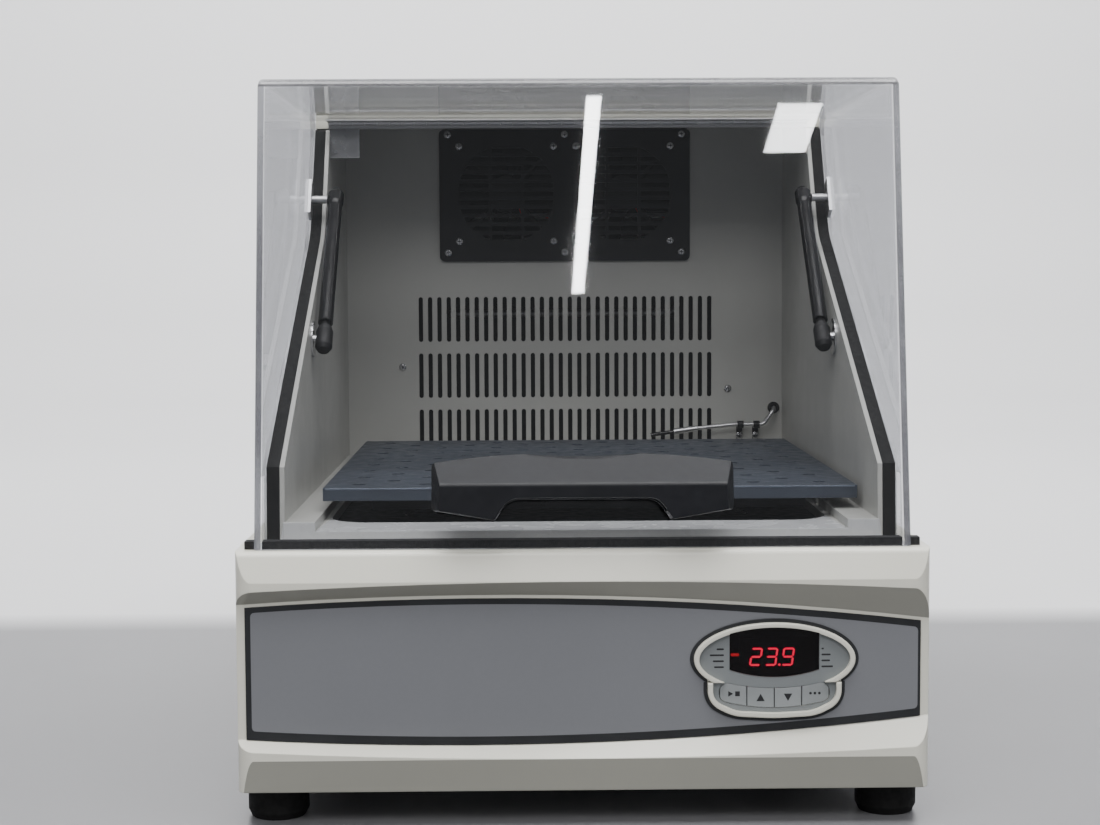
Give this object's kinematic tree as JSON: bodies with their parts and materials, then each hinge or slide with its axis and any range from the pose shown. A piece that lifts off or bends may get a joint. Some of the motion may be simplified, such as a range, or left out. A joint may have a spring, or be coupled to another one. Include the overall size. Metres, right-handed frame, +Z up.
{
  "type": "incubated benchtop shaker",
  "caption": "Incubated benchtop shaker: cream base with a curved front panel, clear sloping lid on gas struts, perforated orbiting platform and a fan-heated chamber.",
  "frame": {"origin": "on the bench, below the middle of the outer box", "axes": "+X to the right seen from the front, +Y to the back, +Z up"},
  "size_m": [0.5592, 0.7591, 0.612],
  "materials": {
    "moulding_cream": "gloss",
    "panel_cream": "satin",
    "overlay_silver": "satin",
    "clear": "clear",
    "black_plastic": "satin",
    "black_rubber": "matte",
    "liner_grey": "satin",
    "platform_blue": "satin",
    "black_metal": "satin",
    "steel": "brushed",
    "bright_steel": "polished",
    "aluminium": "satin",
    "cast_iron": "cast",
    "board_green": "matte",
    "key_grey": "matte"
  },
  "bodies": {
    "cabinet": {"base_pan": "steel", "base_cabinet": "panel_cream", "rear_panel": "panel_cream", "front_bezel": "moulding_cream", "front_overlay": "overlay_silver", "control_bezel": "moulding_cream", "display_window": "clear", "display_board": "board_green", "base_gasket": "black_rubber", "rubber_feet": "black_rubber", "power_inlet": "black_plastic", "switch_frame": "black_plastic", "control_board": "board_green", "transformer": "cast_iron", "chamber_liner": "liner_grey", "cabinet_shell": "panel_cream", "side_gaskets": "black_rubber", "top_panel": "panel_cream", "fan_plate": "black_metal", "fan_frames": "black_plastic", "heater_element": "steel", "air_duct": "steel", "temperature_probe": "steel", "probe_clips": "black_plastic", "probe_grommet": "black_rubber", "chamber_screws": "bright_steel", "rear_screws": "bright_steel", "hinge_body_leaf": "steel", "hinge_pin": "bright_steel", "strut_lower_studs": "bright_steel", "stop_tab": "clear", "deck_tray": "black_metal", "drive_frame": "aluminium", "crank_bearings": "bright_steel", "drive_motor": "black_metal", "drive_belt": "black_rubber"},
    "lid": {"lid": "clear", "lid_handle": "black_plastic", "hinge_lid_leaf": "steel", "lid_brackets": "steel"},
    "left_strut_rod": {"strut_left_rod": "bright_steel"},
    "left_strut_cylinder": {"strut_left_cylinder": "black_metal"},
    "right_strut_rod": {"strut_right_rod": "bright_steel"},
    "right_strut_cylinder": {"strut_right_cylinder": "black_metal"},
    "crank": {"crank_shaft": "steel", "counterweight": "cast_iron", "driven_pulley": "aluminium"},
    "platform": {"platform": "platform_blue", "carrier_plate": "aluminium", "platform_posts": "steel"},
    "left_idler": {"idler_crank_left": "steel"},
    "right_idler": {"idler_crank_right": "steel"},
    "motor_shaft": {"motor_pulley": "aluminium"},
    "left_fan": {"fan_rotor_left": "black_plastic"},
    "right_fan": {"fan_rotor_right": "black_plastic"},
    "run_key": {"key_run": "key_grey"},
    "up_key": {"key_up": "key_grey"},
    "down_key": {"key_down": "key_grey"},
    "select_key": {"key_select": "key_grey"},
    "power_rocker": {"switch_rocker": "black_plastic"}
  },
  "joints": [
    {"name": "lid_hinge", "type": "hinge", "parent": "cabinet", "child": "lid", "pos_m": [0, 0.0864, 0.6], "axis": [-1, 0, 0], "range_deg": [0, 60]},
    {"name": "left_strut_swing", "type": "hinge", "parent": "cabinet", "child": "left_strut_rod", "pos_m": [-0.2325, -0.1006, 0.386], "axis": [1, 0, 0], "range_deg": [0, 22.35]},
    {"name": "left_strut_slide", "type": "slide", "parent": "left_strut_rod", "child": "left_strut_cylinder", "axis": [0, 0.6879, 0.7258], "range_m": [0, 0.058]},
    {"name": "right_strut_swing", "type": "hinge", "parent": "cabinet", "child": "right_strut_rod", "pos_m": [0.2325, -0.1006, 0.386], "axis": [1, 0, 0], "range_deg": [0, 22.35]},
    {"name": "right_strut_slide", "type": "slide", "parent": "right_strut_rod", "child": "right_strut_cylinder", "axis": [0, 0.6879, 0.7258], "range_m": [0, 0.058]},
    {"name": "crank_spin", "type": "hinge", "parent": "cabinet", "child": "crank", "pos_m": [0, -0.0295, 0.096], "axis": [0, 0, 1], "continuous": true},
    {"name": "platform_orbit", "type": "hinge", "parent": "crank", "child": "platform", "pos_m": [0.0095, -0.0295, 0.241], "axis": [0, 0, 1], "continuous": true},
    {"name": "left_idler_spin", "type": "hinge", "parent": "cabinet", "child": "left_idler", "pos_m": [-0.13, -0.1495, 0.15], "axis": [0, 0, 1], "continuous": true},
    {"name": "right_idler_spin", "type": "hinge", "parent": "cabinet", "child": "right_idler", "pos_m": [0.13, -0.1495, 0.15], "axis": [0, 0, 1], "continuous": true},
    {"name": "motor_spin", "type": "hinge", "parent": "cabinet", "child": "motor_shaft", "pos_m": [-0.15, 0.0605, 0.1], "axis": [0, 0, 1], "continuous": true},
    {"name": "left_fan_spin", "type": "hinge", "parent": "cabinet", "child": "left_fan", "pos_m": [-0.065, 0.2598, 0.5345], "axis": [0, -1, 0], "continuous": true},
    {"name": "right_fan_spin", "type": "hinge", "parent": "cabinet", "child": "right_fan", "pos_m": [0.065, 0.2598, 0.5345], "axis": [0, -1, 0], "continuous": true},
    {"name": "run_key_press", "type": "slide", "parent": "cabinet", "child": "run_key", "axis": [0, 1, 0], "range_m": [0, 0.0012], "stiffness_N_per_m": 400, "springref_m": -0.001},
    {"name": "up_key_press", "type": "slide", "parent": "cabinet", "child": "up_key", "axis": [0, 1, 0], "range_m": [0, 0.0012], "stiffness_N_per_m": 400, "springref_m": -0.001},
    {"name": "down_key_press", "type": "slide", "parent": "cabinet", "child": "down_key", "axis": [0, 1, 0], "range_m": [0, 0.0012], "stiffness_N_per_m": 400, "springref_m": -0.001},
    {"name": "select_key_press", "type": "slide", "parent": "cabinet", "child": "select_key", "axis": [0, 1, 0], "range_m": [0, 0.0012], "stiffness_N_per_m": 400, "springref_m": -0.001},
    {"name": "power_rock", "type": "hinge", "parent": "cabinet", "child": "power_rocker", "pos_m": [-0.13, 0.3726, 0.09], "axis": [1, 0, 0], "range_deg": [0, 21.1]}
  ],
  "couplings": [
    {"joint": "left_strut_swing", "follows": "lid_hinge", "ratio": 0.37079},
    {"joint": "left_strut_slide", "follows": "lid_hinge", "m_per_rad": 0.055165},
    {"joint": "right_strut_swing", "follows": "lid_hinge", "ratio": 0.37079},
    {"joint": "right_strut_slide", "follows": "lid_hinge", "m_per_rad": 0.055165},
    {"joint": "platform_orbit", "follows": "crank_spin", "ratio": -1},
    {"joint": "left_idler_spin", "follows": "crank_spin", "ratio": 1},
    {"joint": "right_idler_spin", "follows": "crank_spin", "ratio": 1},
    {"joint": "motor_spin", "follows": "crank_spin", "ratio": 3}
  ]
}
